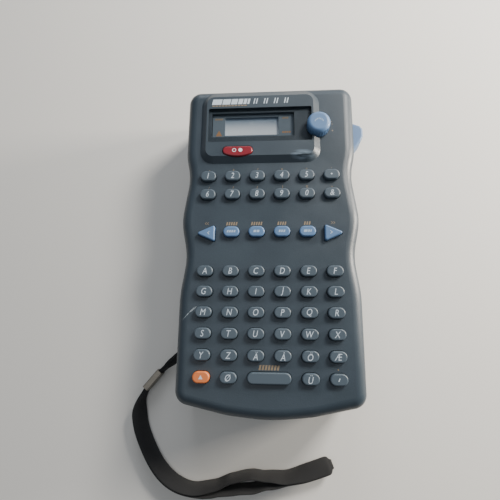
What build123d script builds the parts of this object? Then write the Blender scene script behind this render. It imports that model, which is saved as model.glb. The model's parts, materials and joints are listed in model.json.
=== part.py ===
from build123d import *
import math
import os

# Handheld electronic label maker, lying on its back. Millimetres.
# +X is the right side, +Y points to the display end, +Z comes out of the keyboard face.
# The origin is the middle of the underside, on the middle rest pad.

os.makedirs("parts", exist_ok=True)

# ---- Driving dimensions ------------------------------------------------------------------

# Body
body_width = 98.6
body_length = 188.0
body_depth = 41.0
shell_wall = 2.2
face_wall = 2.2
pad_stand = 1.0
split_height = 20.0
top_corner_radius = 7.5
face_edge_radius = 6.0
rear_edge_radius = 4.0
lip_depth = 1.6
lip_thickness = 1.1
lip_clearance = 0.15

# Side waists, measured from the display end
upper_waist_from_top = 55.5
bump_from_top = 83.0
lower_waist_from_top = 103.5
upper_waist_depth = 2.9
lower_waist_depth = 3.1
bump_rise = 1.1

# Display plateau
plateau_left = 36.8
plateau_right = 25.6
plateau_top_gap = 7.5
plateau_length = 38.1
plateau_rise = 3.0
plateau_slope = 50.0
plateau_root = 2.0
plateau_corner_radius = 4.4
lens_left = 35.8
lens_right = 24.4
lens_top_gap = 15.3
lens_height = 21.4
lens_thickness = 1.2
lens_recess = 0.4
lens_corner_radius = 1.0
panel_left = 33.6
panel_right = 14.2
panel_top_gap = 17.9
panel_height = 14.7
panel_thickness = 1.2
lcd_left = 26.3
lcd_right = 5.4
lcd_top_gap = 19.5
lcd_height = 11.6
lcd_thickness = 4.0
fit_gap = 0.3

# Keys
key_pitch_x = 13.9
key_pitch_y = 10.95
key_width = 8.9
key_height = 5.9
key_rise = 2.5
key_rim_radius = 0.8
key_gap = 0.3
key_flange = 0.8
key_flange_thickness = 1.0
key_travel = 1.2
first_row_from_top = 57.5
space_width = 22.4
arrow_tip_x = 40.6
arrow_base_x = 30.0
arrow_half_height = 4.7
arrow_corner_radius = 0.9
arrow_drop = 0.85

# Power key
power_left = 26.8
power_width = 17.3
power_height = 6.2
power_corner_radius = 2.4
power_from_top = 43.0
power_rise = 3.6

# Dial
dial_x = 28.2
dial_from_top = 27.3
dial_radius = 6.6
dial_height = 6.6
dial_gap = 0.6
dial_floor_gap = 0.4
dial_shaft_radius = 2.0
shaft_clearance = 0.05

# Cutter
cutter_from_top = 30.7
cutter_length = 16.8
cutter_low = 25.0
cutter_height = 12.0
cutter_reach = 5.7
cutter_gap = 0.4
blade_thickness = 0.6

# Power cells
cell_radius = 7.15
cell_length = 50.0
cell_count = 6
cell_gap = 0.3
cell_low = 4.4
cell_from_bottom = 22.0
contact_gap = 1.6

# Tape cassette
cassette_left = 39.0
cassette_right = 28.6
cassette_top_gap = 21.0
cassette_length = 56.0
cassette_low = 4.6
cassette_height = 15.0
cassette_wall = 1.4
roll_radius = 20.0
roll_x = -14.0
tape_width = 12.0
tape_thickness = 0.3
tape_x = 33.8

# Print drive
chassis_thickness = 1.0
chassis_gap = 0.6
chassis_post_radius = 1.6
gear_module = 0.5
gear_thickness = 3.0
gear_lift = 0.3
pinion_teeth = 12
idler_teeth = 42
platen_teeth = 22
axle_radius = 1.25
motor_radius = 6.4
motor_x = 37.0
motor_from_top = 52.0
platen_x = 38.2
platen_from_top = 24.0
platen_radius = 4.0

# Circuit board and key mat
board_thickness = 1.6
mat_thickness = 0.8
board_side_gap = 9.5
board_end_gap = 16.0

# Case screws
post_radius = 3.2
screw_radius = 1.45
screw_head_radius = 2.8
screw_head_depth = 2.0
screw_reach = 26.0
post_edge_gap = 6.9
middle_post_gap = 5.7
bottom_post_from_end = 12.0
bottom_post_side_gap = 9.3
middle_post_from_top = 82.0
top_post_from_end = 7.5

# Doors in the rear face
door_half_width = 40.0
door_thickness = 2.0
door_gap = 0.35
hinge_pin_radius = 0.6
hinge_pin_reach = 1.6
battery_door_from_bottom = 16.5
battery_door_length = 62.0
cassette_door_from_top = 15.5
cassette_door_length = 61.0

# Rest pads
pad_half_length = 30.0
pad_width = 6.0
pad_sink = 0.6
pad_from_end = 10.5

# Wrist strap
strap_width = 7.0
strap_thickness = 3.0
strap_height = 4.2
strap_pin_radius = 1.4
strap_head_radius = 2.3
strap_head_thickness = 0.45
lug_thickness = 2.2
lug_radius = 3.6
lug_reach = 3.2
lug_from_bottom = 32.0
crimp_length = 13.0
crimp_wall = 0.4

# ---- Levels and places worked out from the driving dimensions ----------------------------

half_width = body_width / 2
top_end = body_length / 2
bottom_end = -body_length / 2
rear_z = pad_stand
face_z = rear_z + body_depth
face_inner_z = face_z - face_wall
rear_inner_z = rear_z + shell_wall
plateau_z = face_z + plateau_rise
key_top_z = face_z + key_rise
key_flange_z = face_inner_z - 0.2 - key_flange_thickness
mat_top_z = key_flange_z - key_travel - 0.2
board_top_z = mat_top_z - mat_thickness
board_low_z = board_top_z - board_thickness
lens_low_z = plateau_z - lens_recess - lens_thickness
lcd_top_z = board_top_z + lcd_thickness
plateau_centre_x = (plateau_right - plateau_left) / 2
plateau_centre_y = top_end - plateau_top_gap - plateau_length / 2
lens_centre_x = (lens_right - lens_left) / 2
lens_centre_y = top_end - lens_top_gap - lens_height / 2
panel_centre_x = (panel_right - panel_left) / 2
panel_centre_y = top_end - panel_top_gap - panel_height / 2
lcd_centre_x = (lcd_right - lcd_left) / 2
lcd_centre_y = top_end - lcd_top_gap - lcd_height / 2
dial_y = top_end - dial_from_top
power_x = -power_left + power_width / 2
power_y = top_end - power_from_top
cutter_y = top_end - cutter_from_top
cell_y = bottom_end + cell_from_bottom + cell_length / 2
cell_pitch = 2 * cell_radius + cell_gap
cell_z = cell_low + cell_radius
cassette_centre_x = (cassette_right - cassette_left) / 2
cassette_centre_y = top_end - cassette_top_gap - cassette_length / 2
cassette_top_z = cassette_low + cassette_height
tape_z = cassette_low + cassette_height / 2
chassis_low_z = cassette_top_z + chassis_gap
chassis_top_z = chassis_low_z + chassis_thickness
gear_z = chassis_top_z + gear_lift
motor_y = top_end - motor_from_top
platen_y = top_end - platen_from_top
strap_pin_x = -half_width - lug_reach
strap_pin_y = bottom_end + lug_from_bottom
strap_low_z = strap_height - strap_width / 2
strap_top_z = strap_height + strap_width / 2

row_steps = [0, 1, 3, 5, 6, 7, 8, 9, 10]
row_y = [top_end - first_row_from_top - step * key_pitch_y for step in row_steps]
column_x = [(column - 2.5) * key_pitch_x for column in range(6)]
arrow_y = row_y[2] - arrow_drop


tape_slot_height = tape_width + 2.5
hinge_z = rear_z + 0.2 + door_thickness / 2
battery_door_y = bottom_end + battery_door_from_bottom + battery_door_length / 2
cassette_door_y = top_end - cassette_door_from_top - cassette_door_length / 2
hinge_set_in = door_gap + door_thickness / 2
battery_hinge_y = battery_door_y - battery_door_length / 2 + hinge_set_in
cassette_hinge_y = cassette_door_y + cassette_door_length / 2 - hinge_set_in
tape_mouth_y = platen_y - 12.0
head_x = tape_x - tape_thickness - 1.2


def pitch_radius(teeth):
    return gear_module * teeth / 2


# Gear centres: the idler meshes with the motor pinion, the platen gear and the ribbon gear
pinion_reach = pitch_radius(pinion_teeth) + pitch_radius(idler_teeth)
platen_reach = pitch_radius(platen_teeth) + pitch_radius(idler_teeth)
gear_span = math.hypot(platen_x - motor_x, platen_y - motor_y)
span_angle = math.atan2(platen_y - motor_y, platen_x - motor_x)
idler_along = (pinion_reach**2 - platen_reach**2 + gear_span**2) / (2 * gear_span)
idler_turn = span_angle + math.acos(idler_along / pinion_reach)
idler_x = motor_x + pinion_reach * math.cos(idler_turn)
idler_y = motor_y + pinion_reach * math.sin(idler_turn)
ribbon_turn = math.radians(175)
ribbon_x = idler_x + platen_reach * math.cos(ribbon_turn)
ribbon_y = idler_y + platen_reach * math.sin(ribbon_turn)
chassis_post = (half_width - shell_wall - 4.7, idler_y + 2.3)
blade_y = platen_y + 11.0


# ---- Shared shapes -----------------------------------------------------------------------

def case_outline(inset):
    """Closed outline of the case: straight display end, two waists, bowed lower end."""
    right_side = [
        (half_width, top_end),
        (half_width, top_end - upper_waist_from_top + 12.1),
        (half_width - upper_waist_depth, top_end - upper_waist_from_top),
        (half_width + bump_rise, top_end - bump_from_top),
        (half_width - lower_waist_depth, top_end - lower_waist_from_top),
        (half_width, top_end - lower_waist_from_top - 20.5),
        (half_width, bottom_end + 7.8),
        (0.45 * half_width, bottom_end + 1.9),
    ]
    radii = [top_corner_radius, 35, 38, 35, 38, 60, 7.5, 60]
    left_side = [(-x, y) for x, y in reversed(right_side)]
    foot = [(0, bottom_end - 0.3)]
    with BuildSketch() as outline:
        with BuildLine():
            FilletPolyline(
                right_side + foot + left_side,
                radius=radii + [100] + radii[::-1],
                close=True,
            )
        make_face()
        if inset:
            offset(amount=-inset, mode=Mode.REPLACE)
    return outline.sketch


def post_places():
    """Centres of the six case screws."""
    top = (half_width - post_edge_gap, top_end - top_post_from_end)
    middle = (half_width - middle_post_gap, top_end - middle_post_from_top)
    bottom = (half_width - bottom_post_side_gap, bottom_end + bottom_post_from_end)
    return [(side * x, y) for x, y in (top, middle, bottom) for side in (-1, 1)]


def pad_places():
    """Centres of the three rest pads: both ends and the middle."""
    return [(0, top_end - pad_from_end), (0, 0), (0, bottom_end + pad_from_end)]


def door_places():
    """Centre and length of the two openings in the rear face."""
    return [(battery_door_y, battery_door_length), (cassette_door_y, cassette_door_length)]


def arrow_points(side, grow):
    """Corners of the triangular arrow key; side is -1 for left and 1 for right."""
    return [
        (side * (arrow_tip_x + 1.9 * grow), arrow_y),
        (side * (arrow_base_x - grow), arrow_y + arrow_half_height + 1.5 * grow),
        (side * (arrow_base_x - grow), arrow_y - arrow_half_height - 1.5 * grow),
    ]


def arrow_outline(side, grow):
    with BuildSketch() as outline:
        with BuildLine():
            Polyline(*arrow_points(side, grow), close=True)
        make_face()
        fillet(outline.vertices(), radius=arrow_corner_radius)
    return outline.sketch


def power_outline(grow):
    """Power key: straight upper edge, convex lower edge and rounded corners."""
    half = power_width / 2 + grow
    top = power_y + power_height / 2 + grow
    low = power_y - power_height / 2 - grow
    with BuildSketch() as outline:
        with BuildLine():
            Polyline((power_x - half, low + 2), (power_x - half, top), (power_x + half, top),
                     (power_x + half, low + 2))
            ThreePointArc((power_x - half, low + 2), (power_x, low), (power_x + half, low + 2))
        make_face()
        fillet(outline.vertices(), radius=power_corner_radius + grow)
    return outline.sketch


def key_sites():
    """Every slot-shaped key: node name, centres and width."""
    sites = []
    for index, name in enumerate(["1", "2", "3", "4", "5", "dot"]):
        sites.append((f"key_{name}", [(column_x[index], row_y[0])], key_width))
    for index, name in enumerate(["6", "7", "8", "9", "0", "sign"]):
        sites.append((f"key_{name}", [(column_x[index], row_y[1])], key_width))
    for index in range(1, 5):
        sites.append((f"key_function_{index}", [(column_x[index], row_y[2])], key_width))
    for row in range(3, 8):
        places = [(x, row_y[row]) for x in column_x]
        sites.append((f"keys_letters_{row - 2}", places, key_width))
    sites.append(("key_shift", [(column_x[0], row_y[8])], key_width))
    sites.append(("key_letter_left", [(column_x[1], row_y[8])], key_width))
    sites.append(("key_space", [(0, row_y[8])], space_width))
    sites.append(("key_letter_right", [(column_x[4], row_y[8])], key_width))
    sites.append(("key_comma", [(column_x[5], row_y[8])], key_width))
    return sites


def save(part, name):
    part.label = name
    export_step(part, f"parts/{name}.step")


# ---- Case --------------------------------------------------------------------------------

with BuildPart() as front_shell:
    with BuildSketch(Plane.XY.offset(split_height)):
        add(case_outline(0))
    extrude(amount=face_z - split_height)
    fillet(front_shell.faces().sort_by(Axis.Z)[-1].edges(), radius=face_edge_radius)
    # Display plateau with sloping sides
    slope_run = (plateau_rise + plateau_root) * math.tan(math.radians(plateau_slope))
    with BuildSketch(Plane.XY.offset(face_z - plateau_root)):
        with Locations((plateau_centre_x, plateau_centre_y)):
            RectangleRounded(plateau_left + plateau_right + 2 * slope_run,
                             plateau_length + 2 * slope_run,
                             plateau_corner_radius + slope_run)
    extrude(amount=plateau_rise + plateau_root, taper=plateau_slope)
    # Hollow
    with BuildSketch(Plane.XY.offset(split_height)):
        add(case_outline(shell_wall))
    extrude(amount=face_inner_z - split_height, mode=Mode.SUBTRACT)
    # Register lip that drops inside the rear shell
    with BuildSketch(Plane.XY.offset(split_height - lip_depth)):
        add(case_outline(shell_wall + lip_clearance))
    extrude(amount=lip_depth)
    with BuildSketch(Plane.XY.offset(split_height)):
        add(case_outline(shell_wall - 0.2))
    extrude(amount=lip_thickness)
    with BuildSketch(Plane.XY.offset(split_height - lip_depth)):
        add(case_outline(shell_wall + lip_clearance + lip_thickness))
    extrude(amount=lip_depth + lip_thickness, mode=Mode.SUBTRACT)
    # Screw posts with pilot holes
    with BuildSketch(Plane.XY.offset(split_height)):
        with Locations(*post_places()):
            Circle(post_radius)
    extrude(amount=face_inner_z - split_height + 0.2)
    with BuildSketch(Plane.XY.offset(split_height - lip_depth)):
        with Locations(*post_places()):
            Circle(screw_radius + 0.02)
    extrude(amount=screw_reach - split_height + lip_depth + 2, mode=Mode.SUBTRACT)
    # Display window and lens pocket
    with BuildSketch(Plane.XY.offset(plateau_z)):
        with Locations((lens_centre_x, lens_centre_y)):
            RectangleRounded(lens_left + lens_right + 0.2, lens_height + 0.2, lens_corner_radius)
    extrude(amount=-lens_recess - lens_thickness, mode=Mode.SUBTRACT)
    with BuildSketch(Plane.XY.offset(plateau_z)):
        with Locations((panel_centre_x, panel_centre_y)):
            Rectangle(panel_left + panel_right + 2 * fit_gap, panel_height + 2 * fit_gap)
    extrude(amount=-body_depth / 2, mode=Mode.SUBTRACT)
    # Dial well and bearing hole
    with BuildSketch(Plane.XY.offset(face_z)):
        with Locations((dial_x, dial_y)):
            Circle(dial_radius + dial_gap)
    extrude(amount=plateau_rise + 1, mode=Mode.SUBTRACT)
    with BuildSketch(Plane.XY.offset(face_z)):
        with Locations((dial_x, dial_y)):
            Circle(dial_shaft_radius + shaft_clearance)
    extrude(amount=-2 * face_wall, mode=Mode.SUBTRACT)
    # Key openings
    with BuildSketch(Plane.XY.offset(face_z + plateau_rise)):
        for site_name, site_places, site_width in key_sites():
            with Locations(*site_places):
                SlotOverall(site_width + 2 * key_gap, key_height + 2 * key_gap)
        add(power_outline(key_gap))
    extrude(amount=-plateau_rise - 2 * face_wall, mode=Mode.SUBTRACT)
    for arrow_side in (-1, 1):
        with BuildSketch(Plane.XY.offset(face_z)):
            add(arrow_outline(arrow_side, key_gap))
        extrude(amount=-2 * face_wall, mode=Mode.SUBTRACT)
    # Opening for the cutter button in the right wall
    with BuildSketch(Plane.XY.offset(cutter_low - cutter_gap)):
        with Locations((half_width, cutter_y)):
            Rectangle(4 * shell_wall + 2, cutter_length + 2 * cutter_gap)
    extrude(amount=cutter_height + 2 * cutter_gap, mode=Mode.SUBTRACT)
save(front_shell.part, "front_shell")

with BuildPart() as rear_shell:
    with BuildSketch(Plane.XY.offset(rear_z)):
        add(case_outline(0))
    extrude(amount=split_height - rear_z)
    fillet(rear_shell.faces().sort_by(Axis.Z)[0].edges(), radius=rear_edge_radius)
    with BuildSketch(Plane.XY.offset(rear_inner_z)):
        add(case_outline(shell_wall))
    extrude(amount=split_height - rear_inner_z, mode=Mode.SUBTRACT)
    # Screw posts
    with BuildSketch(Plane.XY.offset(rear_z)):
        with Locations(*post_places()):
            Circle(post_radius)
    extrude(amount=split_height - lip_depth - 0.2 - rear_z)
    # Walls at both ends of the power cells
    for wall_side in (-1, 1):
        with BuildSketch(Plane.XY.offset(rear_z)):
            with Locations((0, cell_y + wall_side * (cell_length / 2 + contact_gap + 1.4))):
                Rectangle(cell_count * cell_pitch - 2, 1.2)
        extrude(amount=cell_low + 2 * cell_radius - rear_z)
    # Post under the drive chassis
    with BuildSketch(Plane.XY.offset(rear_z)):
        with Locations(chassis_post):
            Circle(chassis_post_radius)
    extrude(amount=chassis_low_z - rear_z)
    # Strap lug on the left wall
    with BuildSketch(Plane.XY.offset(strap_top_z + 0.3)):
        with Locations((strap_pin_x, strap_pin_y)):
            Circle(lug_radius)
        with Locations((strap_pin_x / 2 - half_width / 2 + shell_wall / 2, strap_pin_y)):
            Rectangle(lug_reach + shell_wall, 2 * lug_radius)
    extrude(amount=lug_thickness)
    with BuildSketch(Plane.XY.offset(strap_top_z)):
        with Locations((strap_pin_x, strap_pin_y)):
            Circle(strap_pin_radius + 0.02)
    extrude(amount=lug_thickness + 1, mode=Mode.SUBTRACT)
    # Door openings with hinge pin holes
    for door_y, door_length in door_places():
        with BuildSketch(Plane.XY.offset(rear_z)):
            with Locations((0, door_y)):
                Rectangle(2 * door_half_width, door_length)
        extrude(amount=shell_wall + 0.4, mode=Mode.SUBTRACT)
    for hinge_y in (battery_hinge_y, cassette_hinge_y):
        with BuildSketch(Plane.YZ.offset(-door_half_width - hinge_pin_reach - 0.4)):
            with Locations((hinge_y, hinge_z)):
                Circle(hinge_pin_radius + shaft_clearance)
        extrude(amount=2 * door_half_width + 2 * hinge_pin_reach + 0.8, mode=Mode.SUBTRACT)
    # Screw holes with head recesses
    with BuildSketch(Plane.XY.offset(rear_z)):
        with Locations(*post_places()):
            Circle(screw_head_radius + 0.2)
    extrude(amount=screw_head_depth + 0.4, mode=Mode.SUBTRACT)
    with BuildSketch(Plane.XY.offset(rear_z)):
        with Locations(*post_places()):
            Circle(screw_radius + 0.15)
    extrude(amount=split_height, mode=Mode.SUBTRACT)
    # Pockets for the rest pads
    with BuildSketch(Plane.XY.offset(rear_z)):
        with Locations(*pad_places()):
            SlotOverall(2 * pad_half_length, pad_width)
    extrude(amount=pad_sink, mode=Mode.SUBTRACT)
    # Label exit slot in the display end
    with BuildSketch(Plane.XY.offset(cassette_low)):
        with Locations((tape_x, top_end)):
            Rectangle(1.8, 4 * shell_wall)
    extrude(amount=tape_slot_height, mode=Mode.SUBTRACT)
save(rear_shell.part, "rear_shell")

with BuildPart() as rest_pads:
    with BuildSketch():
        with Locations(*pad_places()):
            SlotOverall(2 * pad_half_length, pad_width)
    extrude(amount=rear_z + pad_sink)
save(rest_pads.part, "rest_pads")

with BuildPart() as case_screws:
    with BuildSketch(Plane.XY.offset(rear_z + 0.4)):
        with Locations(*post_places()):
            Circle(screw_head_radius)
    extrude(amount=screw_head_depth)
    with BuildSketch(Plane.XY.offset(rear_z + 0.4)):
        with Locations(*post_places()):
            Circle(screw_radius)
    extrude(amount=screw_reach)
    # Cross recess in each head
    with BuildSketch(Plane.XY.offset(rear_z + 0.4)):
        with Locations(*post_places()):
            Rectangle(3.0, 0.7)
            Rectangle(0.7, 3.0)
    extrude(amount=1.2, mode=Mode.SUBTRACT)
save(case_screws.part, "case_screws")


def door_piece(door_y, door_length, hinge_y):
    """Door with a rounded hinge edge, two hinge pins and a thumb groove at its free end."""
    inward = 1 if hinge_y < door_y else -1
    free_y = door_y + inward * (door_length / 2 - door_gap)
    width = 2 * (door_half_width - door_gap)
    low_z = hinge_z - door_thickness / 2
    with BuildPart() as door:
        with BuildSketch(Plane.XY.offset(low_z)):
            with Locations((0, (hinge_y + free_y) / 2)):
                Rectangle(width, abs(free_y - hinge_y))
        extrude(amount=door_thickness)
        with BuildSketch(Plane.YZ.offset(-width / 2)):
            with Locations((hinge_y, hinge_z)):
                Circle(door_thickness / 2)
        extrude(amount=width)
        with BuildSketch(Plane.YZ.offset(-width / 2 - hinge_pin_reach)):
            with Locations((hinge_y, hinge_z)):
                Circle(hinge_pin_radius)
        extrude(amount=width + 2 * hinge_pin_reach)
        with BuildSketch(Plane.XY.offset(low_z)):
            with Locations((0, free_y - inward * 6)):
                SlotOverall(18, 5)
        extrude(amount=0.8, mode=Mode.SUBTRACT)
        # Stiffening ribs on the inner face
        with BuildSketch(Plane.XY.offset(low_z + door_thickness)):
            with Locations((-0.6 * door_half_width, door_y), (0.6 * door_half_width, door_y)):
                Rectangle(1.0, door_length * 0.7)
        extrude(amount=0.5)
    return door.part


save(door_piece(*door_places()[0], battery_hinge_y), "battery_door")
save(door_piece(*door_places()[1], cassette_hinge_y), "cassette_door")

# ---- Display -----------------------------------------------------------------------------

with BuildPart() as display_lens:
    with BuildSketch(Plane.XY.offset(lens_low_z)):
        with Locations((lens_centre_x, lens_centre_y)):
            RectangleRounded(lens_left + lens_right, lens_height, lens_corner_radius)
        with Locations((dial_x, dial_y)):
            Circle(dial_radius + dial_gap, mode=Mode.SUBTRACT)
    extrude(amount=lens_thickness)
save(display_lens.part, "display_lens")

with BuildPart() as display_panel:
    with BuildSketch(Plane.XY.offset(lcd_top_z)):
        with Locations((panel_centre_x, panel_centre_y)):
            Rectangle(panel_left + panel_right, panel_height)
        with Locations((lcd_centre_x, lcd_centre_y)):
            Rectangle(lcd_left + lcd_right, lcd_height, mode=Mode.SUBTRACT)
    extrude(amount=panel_thickness)
save(display_panel.part, "display_panel")

with BuildPart() as lcd_module:
    with BuildSketch(Plane.XY.offset(board_top_z)):
        with Locations((lcd_centre_x, lcd_centre_y)):
            Rectangle(lcd_left + lcd_right + 4, lcd_height + 2.6)
    extrude(amount=lcd_thickness)
save(lcd_module.part, "lcd_module")

# ---- Keys --------------------------------------------------------------------------------


def slot_keys(places, width):
    """Slot-shaped key caps with a retaining flange below the face wall."""
    with BuildPart() as caps:
        with BuildSketch(Plane.XY.offset(key_flange_z)):
            with Locations(*places):
                SlotOverall(width, key_height)
        extrude(amount=key_top_z - key_flange_z)
        fillet(caps.faces().group_by(Axis.Z)[-1].edges(), radius=key_rim_radius)
        with BuildSketch(Plane.XY.offset(key_flange_z)):
            with Locations(*places):
                SlotOverall(width + 2 * key_flange, key_height + 2 * key_flange)
        extrude(amount=key_flange_thickness)
    return caps.part


def outline_key(outline, flange_outline, top_z):
    """Key cap of any outline with a retaining flange below the face wall."""
    with BuildPart() as cap:
        with BuildSketch(Plane.XY.offset(key_flange_z)):
            add(outline)
        extrude(amount=top_z - key_flange_z)
        fillet(cap.faces().group_by(Axis.Z)[-1].edges(), radius=key_rim_radius)
        with BuildSketch(Plane.XY.offset(key_flange_z)):
            add(flange_outline)
        extrude(amount=key_flange_thickness)
    return cap.part


for site_name, site_places, site_width in key_sites():
    save(slot_keys(site_places, site_width), site_name)

for arrow_name, arrow_side in (("key_left", -1), ("key_right", 1)):
    save(outline_key(arrow_outline(arrow_side, 0), arrow_outline(arrow_side, key_flange),
                     key_top_z), arrow_name)

save(outline_key(power_outline(0), power_outline(key_flange), face_z + power_rise), "power_key")

# ---- Dial --------------------------------------------------------------------------------

with BuildPart() as dial:
    with BuildSketch(Plane.XY.offset(face_z + dial_floor_gap)):
        with Locations((dial_x, dial_y)):
            Circle(dial_radius)
    extrude(amount=dial_height)
    fillet(dial.faces().sort_by(Axis.Z)[-1].edges(), radius=2.2)
    # Finger flutes round the side
    with BuildSketch(Plane.XY.offset(face_z + dial_floor_gap)):
        with Locations((dial_x, dial_y)):
            with PolarLocations(dial_radius + 0.35, 24):
                Circle(0.6)
    extrude(amount=dial_height - 1.6, mode=Mode.SUBTRACT)
    with BuildSketch(Plane.XY.offset(board_top_z + 0.6)):
        with Locations((dial_x, dial_y)):
            Circle(dial_shaft_radius)
    extrude(amount=face_z + dial_floor_gap - board_top_z - 0.6)
save(dial.part, "dial")

# ---- Circuit board and key mat -----------------------------------------------------------

# Middle, width and height of each chip and connector
chip_sites = [(-14, 12, 14, 14), (14, -30, 14, 14), (-16, -36, 18, 9), (20, 22, 8, 4),
              (-28, 40, 8, 4)]
chip_thickness = 1.8
capacitor_sites = [(-30, 4), (-30, -8)]
capacitor_radius = 3.0
capacitor_height = 5.0
board_low_y = bottom_end + board_end_gap
board_high_y = top_end - board_end_gap + 4
keyboard_high_y = row_y[0] + key_pitch_y / 2
with BuildPart() as main_board:
    with BuildSketch(Plane.XY.offset(board_low_z)):
        with Locations((0, (board_low_y + keyboard_high_y) / 2)):
            Rectangle(2 * (half_width - board_side_gap), keyboard_high_y - board_low_y)
        with Locations((0, (board_high_y + keyboard_high_y) / 2)):
            Rectangle(2 * (half_width - board_side_gap - 5), board_high_y - keyboard_high_y)
    extrude(amount=board_thickness)
    # Chips, connectors and capacitors on the underside
    with BuildSketch(Plane.XY.offset(board_low_z)):
        for chip_x, chip_y, chip_width, chip_height in chip_sites:
            with Locations((chip_x, chip_y)):
                Rectangle(chip_width, chip_height)
    extrude(amount=-chip_thickness)
    with BuildSketch(Plane.XY.offset(board_low_z)):
        with Locations(*capacitor_sites):
            Circle(capacitor_radius)
    extrude(amount=-capacitor_height)
save(main_board.part, "main_board")

with BuildPart() as key_mat:
    with BuildSketch(Plane.XY.offset(board_top_z)):
        with Locations((0, (board_low_y + keyboard_high_y) / 2)):
            RectangleRounded(2 * (half_width - board_side_gap) - 2,
                             keyboard_high_y - board_low_y - 2, 2)
    extrude(amount=mat_thickness)
save(key_mat.part, "key_mat")

# ---- Power cells -------------------------------------------------------------------------

cell_button_height = 1.0
cell_button_radius = 2.75
contact_plate_size = 9.0
contact_plate_thickness = 0.5
contact_spring_radius = 3.2
contact_spring_wall = 0.6
cell_can_length = cell_length - 2 * cell_button_height
with BuildPart() as power_cells:
    for cell in range(cell_count):
        cell_x = (cell - (cell_count - 1) / 2) * cell_pitch
        facing = 1 if cell % 2 == 0 else -1
        with BuildSketch(Plane.XZ.offset(-cell_y - cell_can_length / 2)):
            with Locations((cell_x, cell_z)):
                Circle(cell_radius)
        extrude(amount=cell_can_length)
        with BuildSketch(Plane.XZ.offset(-cell_y - facing * cell_can_length / 2)):
            with Locations((cell_x, cell_z)):
                Circle(cell_button_radius)
        extrude(amount=-facing * cell_button_height)
save(power_cells.part, "power_cells")

with BuildPart() as cell_contacts:
    for cell in range(cell_count):
        cell_x = (cell - (cell_count - 1) / 2) * cell_pitch
        facing = 1 if cell % 2 == 0 else -1
        plate_gap = cell_length / 2 + contact_gap
        for plate_side in (-1, 1):
            with BuildSketch(Plane.XZ.offset(-cell_y - plate_side * plate_gap)):
                with Locations((cell_x, cell_z)):
                    Rectangle(contact_plate_size, contact_plate_size)
            extrude(amount=-plate_side * contact_plate_thickness)
        # Spring on the flat end of the cell
        with BuildSketch(Plane.XZ.offset(-cell_y + facing * plate_gap)):
            with Locations((cell_x, cell_z)):
                Circle(contact_spring_radius)
                Circle(contact_spring_radius - contact_spring_wall, mode=Mode.SUBTRACT)
        extrude(amount=-facing * (contact_gap + 0.7))
save(cell_contacts.part, "cell_contacts")

# ---- Tape cassette -----------------------------------------------------------------------

roll_y = cassette_centre_y + 1.0
with BuildPart() as tape_cassette:
    with BuildSketch(Plane.XY.offset(cassette_low)):
        with Locations((cassette_centre_x, cassette_centre_y)):
            RectangleRounded(cassette_left + cassette_right, cassette_length, 3)
    extrude(amount=cassette_height)
    with BuildSketch(Plane.XY.offset(cassette_low + cassette_wall)):
        with Locations((cassette_centre_x, cassette_centre_y)):
            RectangleRounded(cassette_left + cassette_right - 2 * cassette_wall,
                             cassette_length - 2 * cassette_wall, 2)
    extrude(amount=cassette_height - 2 * cassette_wall, mode=Mode.SUBTRACT)
    # Hub post for the roll and the opening for the ribbon spindle
    with BuildSketch(Plane.XY.offset(cassette_low)):
        with Locations((roll_x, roll_y)):
            Circle(3)
    extrude(amount=cassette_height)
    with BuildSketch(Plane.XY.offset(cassette_low + cassette_height / 2)):
        with Locations((ribbon_x, ribbon_y)):
            Circle(4)
    extrude(amount=cassette_height, mode=Mode.SUBTRACT)
    # Mouth where the tape leaves
    with BuildSketch(Plane.XY.offset(cassette_low + cassette_wall)):
        with Locations((cassette_right, tape_mouth_y)):
            Rectangle(4 * cassette_wall, 8)
    extrude(amount=cassette_height - 2 * cassette_wall, mode=Mode.SUBTRACT)
save(tape_cassette.part, "tape_cassette")

with BuildPart() as tape_roll:
    with BuildSketch(Plane.XY.offset(tape_z - tape_width / 2)):
        with Locations((roll_x, roll_y)):
            Circle(roll_radius)
            Circle(3 + shaft_clearance, mode=Mode.SUBTRACT)
    extrude(amount=tape_width)
save(tape_roll.part, "tape_roll")

# The tape ends just short of the blade, where the last label was cut off
tape_end_y = blade_y - blade_thickness / 2 - 0.3
with BuildPart() as label_tape:
    with BuildSketch(Plane.XY.offset(tape_z - tape_width / 2)):
        with BuildLine():
            Polyline((cassette_right - 3, tape_mouth_y - 1), (tape_x, tape_mouth_y + 4),
                     (tape_x, tape_end_y), (tape_x - tape_thickness, tape_end_y),
                     (tape_x - tape_thickness, tape_mouth_y + 4.2),
                     (cassette_right - 3, tape_mouth_y - 0.6), close=True)
        make_face()
    extrude(amount=tape_width)
save(label_tape.part, "label_tape")

# ---- Print drive -------------------------------------------------------------------------


def gear_outline(teeth, tooth_angle):
    """Straight-flanked gear outline with one tooth centred at tooth_angle, in degrees."""
    root = pitch_radius(teeth) - 1.1 * gear_module
    tip = pitch_radius(teeth) + 0.7 * gear_module
    step = 360 / teeth
    corners = []
    for tooth in range(teeth):
        middle = tooth_angle + tooth * step
        for radius, share in ((root, -0.27), (tip, -0.11), (tip, 0.11), (root, 0.27)):
            angle = math.radians(middle + share * step)
            corners.append((radius * math.cos(angle), radius * math.sin(angle)))
    with BuildSketch() as outline:
        with BuildLine():
            Polyline(*corners, close=True)
        make_face()
    return outline.sketch


def meshing_angle(driver_teeth, driver_angle, driven_teeth, line_angle):
    """Tooth angle of a driven gear that sits at line_angle from its driver and meshes with it."""
    driver_step = 360 / driver_teeth
    off_line = (driver_angle - line_angle) % driver_step
    return line_angle + 180 - off_line * driver_teeth / driven_teeth + 180 / driven_teeth


def angle_between(start_x, start_y, end_x, end_y):
    return math.degrees(math.atan2(end_y - start_y, end_x - start_x))


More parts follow.
